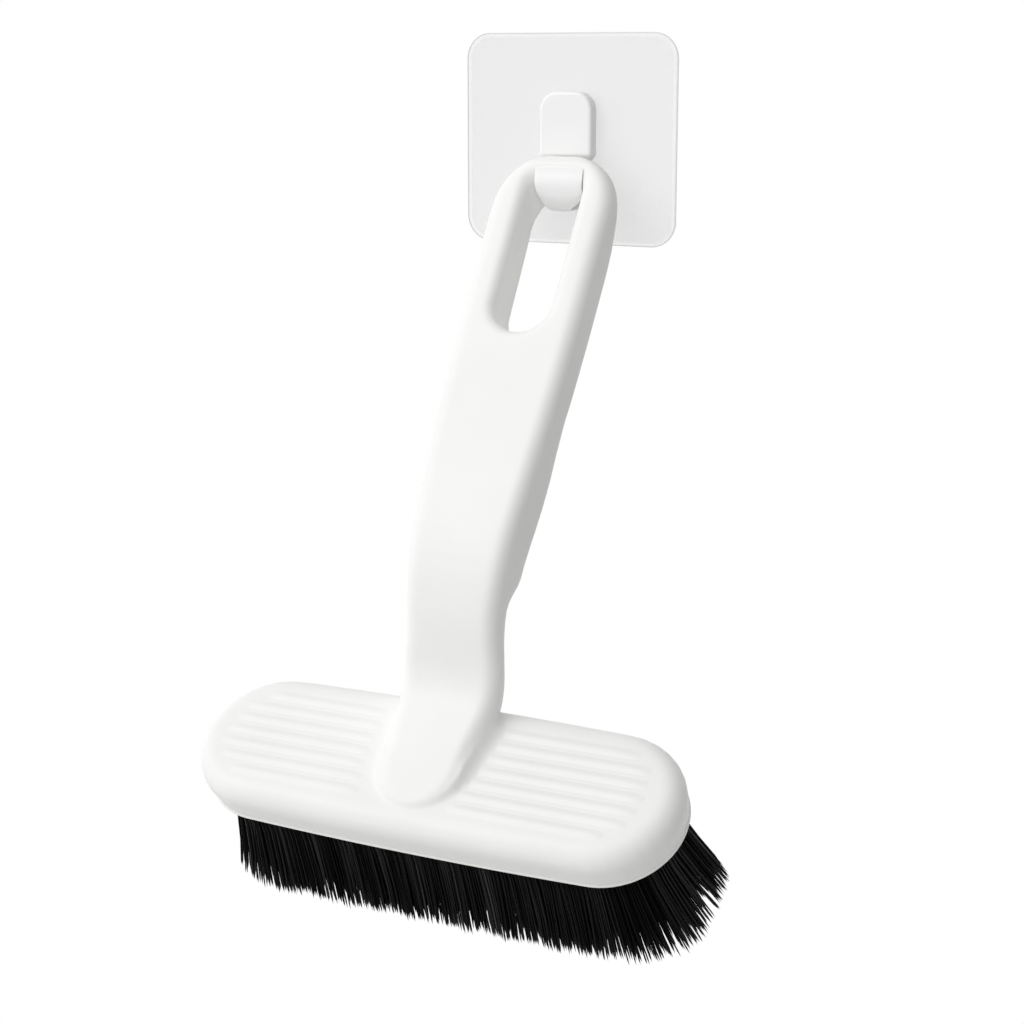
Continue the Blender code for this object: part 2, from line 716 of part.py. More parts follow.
def prong_form(seat):
    """The prong: wide at its tip, narrow at its root, with a top that follows the slot's crown."""
    tip_y, tip_z = prong_tip(seat)
    trough = trough_place(seat)
    run = trough - tip_y
    stages = []
    for angle in (0, 15, 30, 45, 60, 75, 90):
        turn = math.radians(angle)
        along = PRONG_CHIN * (1 - math.cos(turn))
        edge = PRONG_EDGE - min(along, PRONG_EDGE)
        trim = PRONG_EDGE - math.sqrt(PRONG_EDGE ** 2 - edge ** 2)
        stages.append((along, PRONG_CHIN * (1 - math.sin(turn)), trim))
    stages += [(along, 0.0, 0.0) for along in stretch(PRONG_CHIN, run, 4)[1:]]
    stages += [(run, 0.0, 0.0), (-plate_front() - STEM_THICKNESS / 2 - tip_y, 0.0, 0.0)]
    bm = bmesh.new()
    rings = []
    for along, lift, trim in stages:
        narrowing = min(along / run, 1.0)
        half = (PRONG_WIDTH + (PRONG_ROOT_WIDTH - PRONG_WIDTH) * narrowing) / 2 - trim
        front_foot = tip_z - PRONG_HEIGHT
        foot = front_foot + (stem_foot(seat) - front_foot) * narrowing + lift
        y = tip_y + along
        while prong_top(seat, half, y) - trim < foot + PRONG_SIDE_DEPTH and half > PRONG_SIDE_DEPTH:
            half -= PRONG_STEP
        corner = PRONG_CORNER + (PRONG_ROOT_CORNER - PRONG_CORNER) * narrowing
        side_depth = prong_top(seat, half, y) - trim - foot
        corner = min(corner, PRONG_CORNER_SHARE * side_depth, PRONG_CORNER_SPAN * half)
        outline = arc((-half + corner, foot + corner), corner, math.pi, 1.5 * math.pi, 5)
        outline += arc((half - corner, foot + corner), corner, 1.5 * math.pi, 2 * math.pi, 5)
        for i in range(13):
            x = half * math.cos(math.pi * i / 12)
            outline.append((x, prong_top(seat, x, y) - trim))
        rings.append([Vector((PRONG_SIDE + x, y, z)) for x, z in outline])
    loft(bm, rings)
    return bm


def hook_form(seat):
    """Block and stem as they are seen from the side, drawn out past the front view's outline."""
    back = -plate_front()
    stem = back - STEM_THICKNESS
    crown = seat.z + CAP
    profile = [(back, HOOK_TOP + CUT_CLEAR), (back, stem_foot(seat) - CUT_CLEAR)]
    profile += [(stem, stem_foot(seat) - CUT_CLEAR), (stem, crown - CAP * STEM_ROOT_SHARE)]
    profile += [(back - HOOK_DEPTH, crown + SEAT_GAP), (back - HOOK_DEPTH - CUT_CLEAR, crown + SEAT_GAP)]
    profile.append((back - HOOK_DEPTH - CUT_CLEAR, HOOK_TOP + CUT_CLEAR))
    bm = bmesh.new()
    loft(bm, [[Vector((x, y, z)) for y, z in profile] for x in (-HOOK_WIDTH, HOOK_WIDTH)])
    return bm


def hook_outline(seat, inset):
    """Front view of block and stem: arched above, narrower and round-ended below the block."""
    foot = stem_foot(seat) + inset
    top = HOOK_TOP - inset
    waist = seat.z + CAP
    half = HOOK_WIDTH / 2 - inset
    stem = PRONG_WIDTH / 2 - inset
    corner = HOOK_CORNER - inset
    foot_corner = PRONG_CORNER - inset
    quarter = math.pi / 2
    outline = arc((half - corner, top - corner), corner, 0.0, quarter, 6)
    outline += arc((-half + corner, top - corner), corner, quarter, 2 * quarter, 6)
    outline += [(-half, waist), (-stem, waist - (half - stem))]
    outline += arc((-stem + foot_corner, foot + foot_corner), foot_corner, 2 * quarter, 3 * quarter, 4)
    outline += arc((stem - foot_corner, foot + foot_corner), foot_corner, 3 * quarter, 4 * quarter, 4)
    return outline + [(stem, waist - (half - stem)), (half, waist)]


def hook_front_form(seat):
    """The front view's outline, with a soft edge at the block's face."""
    face = -plate_front() - HOOK_DEPTH
    bm = bmesh.new()
    rings = []
    for angle in (0, 30, 60, 90):
        turn = math.radians(angle)
        outline = hook_outline(seat, HOOK_EDGE * (1 - math.sin(turn)))
        y = face + HOOK_EDGE * (1 - math.cos(turn))
        rings.append([Vector((x, y, z)) for x, z in outline])
    rings.append([Vector((x, CUT_CLEAR, z)) for x, z in hook_outline(seat, 0.0)])
    loft(bm, rings)
    return bm


def build_wall_plate():
    gel_front = -GEL_THICKNESS
    film_back = gel_front - SEAT_GAP
    gel = plate_form(
        PLATE_WIDTH - 2 * GEL_INSET, PLATE_HEIGHT - 2 * GEL_INSET, PLATE_CORNER - GEL_INSET, 0.0, gel_front
    )
    film = plate_form(PLATE_WIDTH, PLATE_HEIGHT, PLATE_CORNER, film_back, film_back - FILM_THICKNESS)
    clear_gel = plastic("clear_gel", (0.86, 0.87, 0.87), 0.25, 0.5)
    frosted_film = plastic("frosted_film", (0.84, 0.85, 0.85), 0.45, 0.7)
    add_object("adhesive_gel", finish_mesh(gel, "adhesive_gel"), clear_gel)
    add_object("pad_film", finish_mesh(film, "pad_film"), frosted_film)


def build_hook(seat):
    white_abs = plastic("white_abs", (0.88, 0.88, 0.88), 0.30)
    place = add_empty("hook_on_plate", X_AXIS * HOOK_SIDE)
    hook = add_object("hook", finish_mesh(hook_form(seat), "hook", 30.0), white_abs, place)
    outline = finish_mesh(hook_front_form(seat), "hook_outline")
    outline = make_form(add_object("hook_outline", outline, None, place))
    prong = finish_mesh(prong_form(seat), "hook_prong")
    prong = make_form(add_object("hook_prong", prong, None, place))
    boolean(hook, "INTERSECT", outline)
    boolean(hook, "UNION", prong)


def build_moulding(brush):
    white_pp = plastic("white_pp", (0.87, 0.87, 0.86), 0.38)
    moulding = add_object("handle_and_head", finish_mesh(handle_form(), "handle_and_head"), white_pp, brush)
    head = make_form(add_object("head_block", finish_mesh(head_form(), "head_block"), None, brush))
    ribs = make_form(add_object("head_ribs", finish_mesh(rib_forms(), "head_ribs"), None, brush))
    slot = make_form(add_object("slot_air", finish_mesh(slot_cutter(), "slot_air"), None, brush))
    boolean(moulding, "DIFFERENCE", slot)
    skirt = make_form(add_object("tongue_skirt", finish_mesh(skirt_form(), "tongue_skirt"), None, brush))
    boolean(moulding, "UNION", head)
    boolean(moulding, "UNION", skirt)
    boolean(moulding, "UNION", ribs)


def build_bristles(brush):
    black_nylon = plastic("black_nylon", (0.012, 0.012, 0.013), 0.42)
    reach = HEAD_LENGTH / 2 - HEAD_DRAFT - RIM_WALL - SEAT_GAP
    width = (2 * reach + SEAT_GAP) / SLICE_COUNT
    for i in range(SLICE_COUNT):
        low_x = -reach + i * width
        high_x = low_x + width - SEAT_GAP
        name = "bristle_block_" + str(i + 1)
        block = add_object(name, finish_mesh(slice_form(low_x, high_x), name), black_nylon, brush)
        strands = finish_mesh(strand_forms(low_x, high_x, i), name + "_strands")
        boolean(block, "UNION", make_form(add_object(name + "_strands", strands, None, brush)))


clear_scene()
hanging_bar = Vector((0.0, -plate_front() - STEM_THICKNESS - SEAT_GAP - CAP, -HANG_DROP))
build_wall_plate()
build_hook(hanging_bar)
brush_on_hook = add_empty("brush_on_hook", hanging_bar + X_AXIS * (HOOK_SIDE + HANG_SIDE))
build_moulding(brush_on_hook)
build_bristles(brush_on_hook)
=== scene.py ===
import math
import random

import bmesh
import bpy
from mathutils import Matrix, Vector
from mathutils.bvhtree import BVHTree


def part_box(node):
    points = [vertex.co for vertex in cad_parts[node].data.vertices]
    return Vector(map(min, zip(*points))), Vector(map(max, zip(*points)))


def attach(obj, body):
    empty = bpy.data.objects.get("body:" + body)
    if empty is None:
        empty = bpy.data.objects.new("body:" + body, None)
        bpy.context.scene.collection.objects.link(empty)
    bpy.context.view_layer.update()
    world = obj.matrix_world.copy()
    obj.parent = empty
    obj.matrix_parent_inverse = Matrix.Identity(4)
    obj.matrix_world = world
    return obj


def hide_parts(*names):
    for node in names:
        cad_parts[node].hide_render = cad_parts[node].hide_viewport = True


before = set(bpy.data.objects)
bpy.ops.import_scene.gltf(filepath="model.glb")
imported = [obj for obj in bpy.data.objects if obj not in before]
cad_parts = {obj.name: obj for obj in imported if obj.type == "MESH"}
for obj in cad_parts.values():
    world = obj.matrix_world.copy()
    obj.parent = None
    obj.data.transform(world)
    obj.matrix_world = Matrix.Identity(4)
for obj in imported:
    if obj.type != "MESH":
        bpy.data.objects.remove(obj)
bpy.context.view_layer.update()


# Adhesive layer: a soft clear gel, cast on the back of the film. It grips smooth tile and glass,
# and stops a little inside the film's edge.

def linear(hex_colour):
    """An sRGB hex colour as linear red, green, blue and alpha."""
    levels = [int(hex_colour[i:i + 2], 16) / 255 for i in (0, 2, 4)]
    return [v / 12.92 if v <= 0.04045 else ((v + 0.055) / 1.055) ** 2.4 for v in levels] + [1.0]


def add_node(tree, kind, settings=None, **links):
    """A node with its settings (sockets or properties by name) and its inputs linked from sockets."""
    node = tree.nodes.new(kind)
    for name, value in (settings or {}).items():
        if name in node.inputs:
            node.inputs[name].default_value = value
        else:
            setattr(node, name, value)
    for name, source in links.items():
        tree.links.new(source, node.inputs[name.replace("_", " ")])
    return node


def new_material(name, settings):
    """A Principled material with its shader's constants set, its tree and its shader."""
    material = bpy.data.materials.new(name)
    material.use_nodes = True
    shader = material.node_tree.nodes["Principled BSDF"]
    for socket, value in settings.items():
        shader.inputs[socket].default_value = value
    return material, material.node_tree, shader


def add_grain(tree, shader, pale, dark, grain_size, rough_low, rough_high, depth):
    """Faint cloudy colour, uneven polish and a fine moulded grain, all on object coordinates."""
    place = add_node(tree, "ShaderNodeTexCoord").outputs["Object"]
    clouds = add_node(tree, "ShaderNodeTexNoise", {"Scale": 35.0, "Detail": 3.0}, Vector=place)
    tint = add_node(tree, "ShaderNodeValToRGB", Fac=clouds.outputs["Fac"])
    tint.color_ramp.elements[0].position = 0.3
    tint.color_ramp.elements[0].color = linear(dark)
    tint.color_ramp.elements[1].position = 0.7
    tint.color_ramp.elements[1].color = linear(pale)
    tree.links.new(tint.outputs["Color"], shader.inputs["Base Color"])
    fine = add_node(tree, "ShaderNodeTexNoise", {"Scale": 1 / grain_size, "Detail": 2.0}, Vector=place)
    polish = add_node(tree, "ShaderNodeMapRange", {"To Min": rough_low, "To Max": rough_high},
                      Value=fine.outputs["Fac"])
    tree.links.new(polish.outputs["Result"], shader.inputs["Roughness"])
    bump = add_node(tree, "ShaderNodeBump", {"Strength": 1.0, "Distance": depth},
                    Height=fine.outputs["Fac"])
    tree.links.new(bump.outputs["Normal"], shader.inputs["Normal"])


def dress_node(node, material):
    """Gives a CAD node that stays in sight its material."""
    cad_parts[node].data.materials.clear()
    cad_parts[node].data.materials.append(material)


GEL_PALE = "E6E7E7"
GEL_DARK = "DEDFDF"

# Cast polyurethane gel: water clear, and wet-looking where its edge shows.
clear_gel, tree, shader = new_material("cast_clear_gel", {"IOR": 1.48, "Alpha": 0.05})
add_grain(tree, shader, GEL_PALE, GEL_DARK,
          grain_size=0.0015, rough_low=0.12, rough_high=0.20, depth=0.00001)
dress_node("adhesive_gel", clear_gel)


# Wall film: a die-cut sheet of frosted film with round corners. Its bare edge carries a darker line of
# painted shade, and a narrow clear border runs round the frosted field.

FILM_PALE = "E4E4E4"
FILM_DARK = "E0E0E0"
# Painted shade: the darker grey of the film's cut edge.
FILM_EDGE_SHADE = "BEBEBD"
FILM_BORDER = "EDEDED"
FILM_CORNER = 0.0072
# Width of the line of painted shade round the edge of the film's face.
EDGE_SHADE_LINE = 0.00028
BORDER_WIDTH = 0.0010
BORDER_STEP = 0.00006
BORDER_SLOPE = 3
CORNER_STEPS = 14

# How squarely a face has to look forward or back to be of the film's front or back.
SQUARE_ON = 0.9


def deselect():
    """Leaves edit mode, and leaves nothing selected."""
    if bpy.context.object and bpy.context.object.mode != "OBJECT":
        bpy.ops.object.mode_set(mode="OBJECT")
    bpy.ops.object.select_all(action="DESELECT")


def work_on(piece):
    """Makes a piece the one that the next operators act on."""
    deselect()
    piece.select_set(True)
    bpy.context.view_layer.objects.active = piece


def apply_modifier(piece, kind, settings):
    """Adds a modifier and applies it at once."""
    work_on(piece)
    modifier = piece.modifiers.new(kind.title(), kind)
    for name, value in settings.items():
        setattr(modifier, name, value)
    bpy.ops.object.modifier_apply(modifier=modifier.name)


def settle(piece):
    """Puts a piece's place into its mesh, so that its object sits at the origin."""
    work_on(piece)
    bpy.ops.object.transform_apply(location=True, rotation=True, scale=True)


def finish_piece(piece, material, body, slot, *nodes):
    """Gives a piece its material, smooth shading and body, and hides the CAD nodes that it stands for.
    The slot is not used.
    """
    if material:
        piece.data.materials.clear()
        piece.data.materials.append(material)
    work_on(piece)
    bpy.ops.object.shade_smooth()
    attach(piece, body)
    if nodes:
        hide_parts(*nodes)


# Frosted polyester film: a fine milky matt face that scatters the light and lets some of it through.
frosted_film, tree, shader = new_material("frosted_polyester_film", {"IOR": 1.57, "Alpha": 0.21})
add_grain(tree, shader, FILM_PALE, FILM_DARK,
          grain_size=0.0006, rough_low=0.42, rough_high=0.55, depth=0.000006)

# The same film where it has no frosting: painted shade, a darker grey, along its cut edge, and glossy on
# its clear border.
edge_shade, tree, shader = new_material("film_edge_painted_shade", {"IOR": 1.57, "Alpha": 0.50})
add_grain(tree, shader, FILM_EDGE_SHADE, FILM_EDGE_SHADE,
          grain_size=0.0008, rough_low=0.25, rough_high=0.35, depth=0.000004)
clear_border, tree, shader = new_material("film_clear_border", {"IOR": 1.57, "Alpha": 0.13})
add_grain(tree, shader, FILM_BORDER, FILM_BORDER,
          grain_size=0.0008, rough_low=0.18, rough_high=0.28, depth=0.000004)

film_low, film_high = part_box("pad_film")
film_size = film_high - film_low
deselect()
bpy.ops.mesh.primitive_cube_add(size=1.0, location=(film_low + film_high) / 2)
film = bpy.context.object
film.name = "frosted_wall_film"
film.scale = film_size
settle(film)
for material in (frosted_film, edge_shade, clear_border):
    film.data.materials.append(material)
bpy.ops.object.mode_set(mode="EDIT")
# Every face first takes the painted shade of the cut edge, and the frosted and clear faces are given
# theirs below.
film.active_material_index = 1
bpy.ops.object.material_slot_assign()
mesh = bmesh.from_edit_mesh(film.data)
for edge in mesh.edges:
    one, other = edge.verts
    edge.select = abs(one.co.y - other.co.y) > film_size.y / 2
bmesh.update_edit_mesh(film.data)
bpy.ops.mesh.bevel(offset=FILM_CORNER, segments=CORNER_STEPS, affect="EDGES")
bpy.ops.mesh.select_all(action="DESELECT")
bpy.ops.mesh.select_mode(type="FACE")
mesh = bmesh.from_edit_mesh(film.data)
for face in mesh.faces:
    face.select = face.normal.y > SQUARE_ON
bmesh.update_edit_mesh(film.data)
film.active_material_index = 0
bpy.ops.object.material_slot_assign()
for face in mesh.faces:
    face.select = face.normal.y < -SQUARE_ON
bmesh.update_edit_mesh(film.data)
# The outer ring of the face keeps the painted shade of the cut edge.
bpy.ops.mesh.inset(thickness=EDGE_SHADE_LINE, depth=0.0)
film.active_material_index = 2
bpy.ops.object.material_slot_assign()
bpy.ops.mesh.inset(thickness=BORDER_WIDTH, depth=0.0)
film.active_material_index = 0
bpy.ops.object.material_slot_assign()
bpy.ops.mesh.inset(thickness=BORDER_STEP * BORDER_SLOPE, depth=-BORDER_STEP)
bpy.ops.mesh.select_mode(type="VERT")
bpy.ops.object.mode_set(mode="OBJECT")
finish_piece(film, None, "wall_hook", "frosted_film", "pad_film")
bpy.ops.object.shade_smooth_by_angle(angle=math.radians(30))


# Hook: white ABS, injection moulded in one piece with a satin polish and softly rounded edges. It is
# bonded to the film by its flat back.

HOOK_PALE = "FAFAFA"
HOOK_DARK = "F7F7F7"
HOOK_VOXEL = 0.00028
HOOK_SMOOTHING = 12


def copy_of_node(node, name):
    """A new piece with a CAD node's shape, its loose triangles merged into one skin."""
    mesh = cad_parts[node].data.copy()
    mesh.materials.clear()
    piece = bpy.data.objects.new(name, mesh)
    bpy.context.scene.collection.objects.link(piece)
    work_on(piece)
    bpy.ops.object.mode_set(mode="EDIT")
    bpy.ops.mesh.select_all(action="SELECT")
    bpy.ops.mesh.remove_doubles(threshold=0.00001)
    bpy.ops.mesh.normals_make_consistent(inside=False)
    bpy.ops.mesh.customdata_custom_splitnormals_clear()
    bpy.ops.object.mode_set(mode="OBJECT")
    return piece


hook = copy_of_node("hook", "wall_hook_moulding")
apply_modifier(hook, "REMESH", {"mode": "VOXEL", "voxel_size": HOOK_VOXEL})
apply_modifier(hook, "SMOOTH", {"factor": 0.5, "iterations": HOOK_SMOOTHING})

# The prong's tip is moulded finer than the CAD form: it starts thin against the loop's crown, leans
# back below it, and reaches across to the loop's right arm, a hair's breadth off the loop's skin.
# The change begins at TIP_START and is whole TIP_RUN further forward.
PRONG_MIDDLE = 0.0011
PRONG_HALF = 0.0067
PRONG_FULLER = 0.0034
TIP_START = -0.0098
TIP_RUN = 0.0042
TIP_BACK = -0.0129
TIP_TOP = -0.0076
TIP_DEPTH = 0.0050
TIP_THIN = 0.34
TIP_LEAN = 0.24
TIP_LEAN_MOST = 0.0015
TIP_GAP = 0.00030
TIP_SMOOTHING = (24, 10, 4)


def ease(value):
    """0 to 1 with a soft start and end."""
    value = min(max(value, 0.0), 1.0)
    return value * value * (3 - 2 * value)


tip_group = hook.vertex_groups.new(name="prong_tip")
for vertex in hook.data.vertices:
    forward = ease((TIP_START - vertex.co.y) / TIP_RUN)
    if forward > 0.0:
        tip_group.add([vertex.index], min(forward * 2, 1.0), "REPLACE")
        below = TIP_TOP - vertex.co.z
        if vertex.co.y < TIP_BACK:
            thin = TIP_THIN + (1 - TIP_THIN) * ease(below / TIP_DEPTH)
            vertex.co.y = TIP_BACK + (vertex.co.y - TIP_BACK) * thin
        vertex.co.y += min(max(below - TIP_DEPTH / 2, 0.0) * TIP_LEAN, TIP_LEAN_MOST) * forward
        vertex.co.x += PRONG_FULLER * max((vertex.co.x - PRONG_MIDDLE) / PRONG_HALF, 0.0) * forward

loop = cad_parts["handle_and_head"].data
loop_skin = BVHTree.FromPolygons([v.co for v in loop.vertices], [p.vertices for p in loop.polygons])
for rounds in TIP_SMOOTHING:
    apply_modifier(hook, "SMOOTH", {"factor": 0.5, "iterations": rounds, "vertex_group": "prong_tip"})
    for vertex in hook.data.vertices:
        if vertex.co.y < TIP_START:
            near, normal, _, _ = loop_skin.find_nearest(vertex.co)
            proud = (vertex.co - near).dot(normal)
            if proud < TIP_GAP:
                vertex.co += normal * (TIP_GAP - proud)

# Satin ABS: a fine even texture from a bead-blasted mould, with a soft broad gloss.
satin_abs, tree, shader = new_material("satin_white_abs", {"IOR": 1.54})
add_grain(tree, shader, HOOK_PALE, HOOK_DARK,
          grain_size=0.0005, rough_low=0.28, rough_high=0.38, depth=0.000006)
finish_piece(hook, satin_abs, "wall_hook", "white_abs", "hook")


# Handle and head: one injection moulding in white polypropylene. The bent handle with its long slot
# runs down into a tongue, which stands on the head's soft-edged top.

PP_PALE = "F6F6F4"
PP_DARK = "F2F2F0"
MOULDING_VOXEL = 0.00065
MOULDING_SMOOTHING = 4
HEAD_CENTRE = Vector((0.0017, -0.0888, -0.1563))
HEAD_FORWARD = Vector((0.0, -0.8271, -0.5621))
HEAD_UP = Vector((0.0, -0.5621, 0.8271))
HEAD_LENGTH = 0.1411
HEAD_WIDTH = 0.0420
HEAD_BOW = 0.0008
HEAD_DRAFT = 0.0010

head_turn = Matrix((Vector((1.0, 0.0, 0.0)), -HEAD_FORWARD, HEAD_UP)).transposed().to_4x4()
head_place = Matrix.Translation(HEAD_CENTRE) @ head_turn

# The CAD form's plain ribs are shaved off first, from beside the tongue outwards, because softer ones
# stand in for them. Each row has its place forward of the head's middle and where the shaving starts.
SHAVED_ROWS = (
    (-0.0105, 0.0167), (-0.0063, 0.0162), (-0.0021, 0.0158),
    (0.0021, 0.0146), (0.0063, 0.0118), (0.0105, 0.0118),
)
SHAVED_END = 0.0635
SHAVED_WIDTH = 0.0020
SHAVED_HEIGHT = 0.00199
SHAVED_MIDDLE = 0.00100


def place_on_head(piece):
    """Turns and moves a piece from the head's own axes (along, back, up) to its place."""
    piece.matrix_world = head_place @ piece.matrix_world
    settle(piece)


moulding = copy_of_node("handle_and_head", "brush_moulding")
cutters = []
for forward, start in SHAVED_ROWS:
    for side in (-1, 1):
        deselect()
        middle = side * (start + SHAVED_END) / 2
        bpy.ops.mesh.primitive_cube_add(size=1.0, location=(middle, -forward, SHAVED_MIDDLE))
        cutter = bpy.context.object
        cutter.scale = (SHAVED_END - start, SHAVED_WIDTH, SHAVED_HEIGHT)
        bpy.context.view_layer.update()
        place_on_head(cutter)
        cutters.append(cutter)
deselect()
for cutter in cutters:
    cutter.select_set(True)
bpy.context.view_layer.objects.active = cutters[0]
bpy.ops.object.join()
shaver = bpy.context.object
apply_modifier(moulding, "BOOLEAN", {"operation": "DIFFERENCE", "object": shaver, "solver": "EXACT"})
bpy.data.objects.remove(shaver, do_unlink=True)
apply_modifier(moulding, "REMESH", {"mode": "VOXEL", "voxel_size": MOULDING_VOXEL})
apply_modifier(moulding, "SMOOTH", {"factor": 0.5, "iterations": MOULDING_SMOOTHING})

# Matt polypropylene: a slightly waxy white with a very fine grain and a soft broad gloss.
matt_pp, tree, shader = new_material("matt_white_polypropylene", {"IOR": 1.49})
add_grain(tree, shader, PP_PALE, PP_DARK,
          grain_size=0.0007, rough_low=0.36, rough_high=0.46, depth=0.000008)
finish_piece(moulding, matt_pp, "brush", "white_pp", "handle_and_head")


# Grip ribs: low rounded ridges on the head's top, seven on each side of the tongue, with six fine
# grooves between them. They are part of the moulding, and run out softly at their ends.

# How far forward each fine groove lies, and where it starts and ends on the left and right.
GROOVES = (
    (-0.0105, -0.0593, -0.0187, 0.0166, 0.0596),
    (-0.0063, -0.0612, -0.0178, 0.0160, 0.0606),
    (-0.0021, -0.0619, -0.0180, 0.0150, 0.0609),
    (0.0021, -0.0626, -0.0175, 0.0142, 0.0614),
    (0.0063, -0.0620, -0.0171, 0.0130, 0.0601),
    (0.0105, -0.0592, -0.0150, 0.0112, 0.0590),
)
RIB_PITCH = 0.0042
RIB_WIDTH = 0.0039
RIB_HEIGHT = 0.00036
RIB_FADE = 0.0050
EDGE_RIB_SHORTER = 0.0040
RIB_SINK = 0.00004
STEPS_ALONG = 72
STEPS_ACROSS = 12
RIB_EDGE = math.radians(50)


def rib_height(along, across, length):
    """Height of a ridge: a cosine hump that fades out towards both ends."""
    hump = 0.5 + 0.5 * math.cos(2 * math.pi * min(abs(across), RIB_WIDTH / 2) / RIB_WIDTH)
    to_end = min(max((length / 2 - abs(along)) / RIB_FADE, 0.0), 1.0)
    return RIB_HEIGHT * hump * (1 - (1 - to_end) ** 2) - RIB_SINK


ribs = []
for above, below in zip((GROOVES[0], *GROOVES), (*GROOVES, GROOVES[-1])):
    forward, left_out, left_in, right_in, right_out = [(a + b) / 2 for a, b in zip(above, below)]
    if above is below:
        forward += math.copysign(RIB_PITCH / 2, forward)
        left_out += EDGE_RIB_SHORTER
        right_out -= EDGE_RIB_SHORTER
    for start, end in ((left_out, left_in), (right_in, right_out)):
        length = end - start
        deselect()
        bpy.ops.mesh.primitive_grid_add(x_subdivisions=STEPS_ALONG, y_subdivisions=STEPS_ACROSS, size=1.0)
        rib = bpy.context.object
        rib.scale = (length, RIB_WIDTH, 1.0)
        settle(rib)
        for vertex in rib.data.vertices:
            vertex.co.z = rib_height(vertex.co.x, vertex.co.y, length)
        bpy.ops.object.mode_set(mode="EDIT")
        bpy.ops.mesh.select_all(action="DESELECT")
        bpy.ops.mesh.select_mode(type="EDGE")
        bpy.ops.mesh.select_non_manifold()
        bpy.ops.mesh.extrude_edges_move(TRANSFORM_OT_translate={"value": (0.0, 0.0, -RIB_HEIGHT)})
        bpy.ops.mesh.fill()
        bpy.ops.mesh.select_all(action="SELECT")
        bpy.ops.mesh.normals_make_consistent(inside=False)
        bpy.ops.mesh.select_mode(type="VERT")
        bpy.ops.object.mode_set(mode="OBJECT")
        rib.location = ((start + end) / 2, -forward, 0.0)
        bpy.context.view_layer.update()
        place_on_head(rib)
        ribs.append(rib)
deselect()
for rib in ribs:
    rib.select_set(True)
bpy.context.view_layer.objects.active = ribs[0]
bpy.ops.object.join()
grip_ribs = bpy.context.object
grip_ribs.name = "grip_ribs"
finish_piece(grip_ribs, matt_pp, "brush", "white_pp")
bpy.ops.object.shade_smooth_by_angle(angle=RIB_EDGE)


# Rim bead: the thin lip round the bottom of the head's wall, where the two halves of the mould
# meet. It is of the same polypropylene and catches a little light.

BEAD_RADIUS = 0.00040
BEAD_PROUD = 0.00005
BEAD_HEIGHT = -0.01160
END_STEPS = 48
SIDE_STEPS = 12


def stadium_points(inset, height):
    """Points round the head at a height, on the head's own axes: round ends and bowed long sides."""
    radius = HEAD_WIDTH / 2 - inset
    straight = HEAD_LENGTH / 2 - HEAD_WIDTH / 2
    points = []
    for side in (1, -1):
        for i in range(END_STEPS + 1):
            turn = math.pi * (i / END_STEPS - 0.5)
            x = straight + radius * math.cos(turn)
            points.append((side * x, side * radius * math.sin(turn), height))
        for i in range(1, SIDE_STEPS):
            x = straight * (1 - 2 * i / SIDE_STEPS)
            bow = HEAD_BOW * (1 - (x / straight) ** 2)
            points.append((side * x, side * (radius + bow), height))
    return points


path = bpy.data.curves.new("rim_bead", "CURVE")
path.dimensions = "3D"
path.bevel_depth = BEAD_RADIUS
path.bevel_resolution = 2
spline = path.splines.new("POLY")
points = stadium_points(HEAD_DRAFT - BEAD_PROUD, BEAD_HEIGHT)
spline.points.add(len(points) - 1)
for point, place in zip(spline.points, points):
    point.co = (*place, 1.0)
spline.use_cyclic_u = True
bead = bpy.data.objects.new("rim_bead", path)
bpy.context.scene.collection.objects.link(bead)
work_on(bead)
bpy.ops.object.convert(target="MESH")
bead = bpy.context.object
place_on_head(bead)
finish_piece(bead, matt_pp, "brush", "white_pp")


# Bristle base: the plate of black polypropylene that is pressed into the recess under the head. The
# tufts stand in it. Its black is also painted shade, the dark of the recess round the roots.

BASE_INSET = 0.0034
BASE_TOP = -0.0093
BASE_BOTTOM = -0.0119
BASE_SIDES = 94
BASE_ROUND = 0.0003
# The plate's black, which also paints the shade round the roots of the tufts.
BASE_AND_SHADE_PALE = "131314"
BASE_AND_SHADE_DARK = "0E0E0F"

deselect()
bpy.ops.mesh.primitive_cylinder_add(
    vertices=BASE_SIDES, radius=HEAD_WIDTH / 2 - BASE_INSET, depth=BASE_TOP - BASE_BOTTOM,
    location=(0.0, 0.0, (BASE_TOP + BASE_BOTTOM) / 2))
base = bpy.context.object
base.name = "bristle_base"
settle(base)
for vertex in base.data.vertices:
    vertex.co.x += math.copysign(HEAD_LENGTH / 2 - HEAD_WIDTH / 2, vertex.co.x)
apply_modifier(base, "BEVEL", {"width": BASE_ROUND, "segments": 2, "angle_limit": math.radians(50)})
place_on_head(base)

# Black polypropylene: matt, and moulded from the colour of the bristles. Its black also stands for the
# shade in the recess under the head, as painted shade.
black_pp_and_shade, tree, shader = new_material("black_polypropylene_and_painted_shade", {"IOR": 1.49})
add_grain(tree, shader, BASE_AND_SHADE_PALE, BASE_AND_SHADE_DARK,
          grain_size=0.0008, rough_low=0.40, rough_high=0.55, depth=0.00001)


# Bristles: straight black nylon filament, cut to a tapered tip. It stands in tufts of a few dozen
# filaments, and the tufts towards the front and the ends lean out over the edge.

FILAMENT_RADIUS = 0.00027
FILAMENT_SPACING = 0.00069
FILAMENT_LENGTH = 0.0309
FILAMENT_SUNK = 0.0005
FILAMENT_SIDES = 3
PLACE_WANDER = 0.45
FIELD_RADIUS = 0.0160
FIELD_LEFT = 0.0606
FIELD_RIGHT = 0.0640
FIELD_CROWD = 0.78
TUFT_ALONG = 0.0046
TUFT_ACROSS = 0.0040
TUFT_PINCH = 0.05
TUFT_WANDER = 0.0003
TUFT_RAGGED = 0.0004
